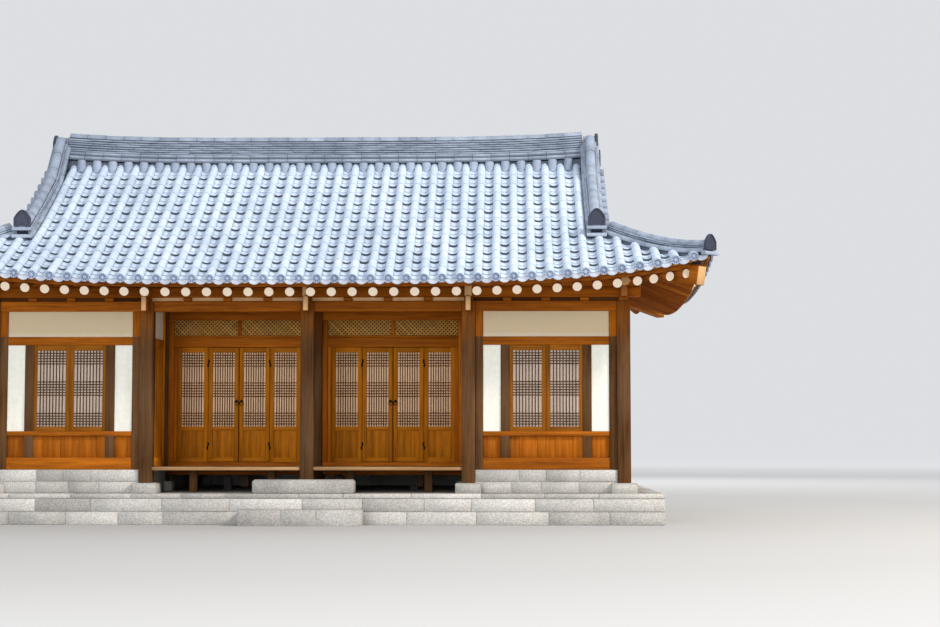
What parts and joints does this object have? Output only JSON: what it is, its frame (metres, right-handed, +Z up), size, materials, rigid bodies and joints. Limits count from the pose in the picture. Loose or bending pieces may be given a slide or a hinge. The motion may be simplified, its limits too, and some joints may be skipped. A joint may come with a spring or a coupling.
{
  "type": "traditional tile-roofed timber house",
  "caption": "Timber house on a stone platform with white plaster walls, lattice windows, a recessed hall with lattice doors and a hip-and-gable tiled roof.",
  "frame": {"origin": "middle of the platform's underside, at ground level", "axes": "+X to the right along the front, +Y towards the back, +Z up; the front faces -Y"},
  "size_m": [11.9646, 7.2626, 6.329],
  "materials": {
    "stone": "rough",
    "weathered_timber": "matte",
    "timber": "matte",
    "door_timber": "matte",
    "window_timber": "matte",
    "floor_boards": "satin",
    "plaster": "matte",
    "roof_bed": "matte",
    "roof_tile": "matte",
    "paper": "matte",
    "iron": "matte"
  },
  "bodies": {
    "house": {"stone_platform": "stone", "step_stone": "stone", "front_post_1": "weathered_timber", "front_post_2": "weathered_timber", "front_post_3": "weathered_timber", "front_post_4": "weathered_timber", "front_post_5": "weathered_timber", "cross_beam_1": "timber", "cross_beam_2": "timber", "cross_beam_3": "timber", "front_lintel": "timber", "upper_roof_frame": "timber", "hall_front_frame": "weathered_timber", "left_front_frame": "weathered_timber", "right_front_frame": "weathered_timber", "left_end_frame": "weathered_timber", "right_end_frame": "weathered_timber", "back_wall_frame": "weathered_timber", "left_front_wall": "plaster", "right_front_wall": "plaster", "left_end_wall": "plaster", "right_end_wall": "plaster", "back_wall": "plaster", "left_porch_wall": "plaster", "right_porch_wall": "plaster", "left_gable": "plaster", "right_gable": "plaster", "left_bay_door_1": "door_timber", "left_bay_door_4": "door_timber", "right_bay_door_1": "door_timber", "right_bay_door_4": "door_timber", "left_front_window": "window_timber", "right_front_window": "window_timber", "left_end_window": "window_timber", "right_end_window": "window_timber", "back_window_left": "window_timber", "back_window_right": "window_timber", "hall_floor": "floor_boards", "porch_floor": "floor_boards", "front_rafters": "timber", "back_rafters": "timber", "left_rafters": "timber", "right_rafters": "timber", "front_roof": "roof_bed", "back_roof": "roof_bed", "left_roof": "roof_bed", "right_roof": "roof_bed", "front_tile_rows": "roof_tile", "back_tile_rows": "roof_tile", "main_ridge": "roof_tile", "left_slope_ridge": "roof_tile", "right_slope_ridge": "roof_tile", "front_left_hip_ridge": "roof_tile", "front_right_hip_ridge": "roof_tile", "back_left_hip_ridge": "roof_tile", "back_right_hip_ridge": "roof_tile"},
    "left_bay_door_2": {"left_bay_door_2": "door_timber"},
    "left_bay_door_3": {"left_bay_door_3": "door_timber"},
    "right_bay_door_2": {"right_bay_door_2": "door_timber"},
    "right_bay_door_3": {"right_bay_door_3": "door_timber"}
  },
  "joints": [
    {"name": "left_bay_door_2_hinge", "type": "hinge", "parent": "house", "child": "left_bay_door_2", "pos_m": [-1.6975, -1.228, 0.906], "axis": [0, 0, -1], "range_deg": [0, 165]},
    {"name": "left_bay_door_3_hinge", "type": "hinge", "parent": "house", "child": "left_bay_door_3", "pos_m": [-0.7275, -1.228, 0.906], "axis": [0, 0, 1], "range_deg": [0, 165]},
    {"name": "right_bay_door_2_hinge", "type": "hinge", "parent": "house", "child": "right_bay_door_2", "pos_m": [0.7275, -1.228, 0.906], "axis": [0, 0, -1], "range_deg": [0, 165]},
    {"name": "right_bay_door_3_hinge", "type": "hinge", "parent": "house", "child": "right_bay_door_3", "pos_m": [1.6975, -1.228, 0.906], "axis": [0, 0, 1], "range_deg": [0, 165]}
  ]
}
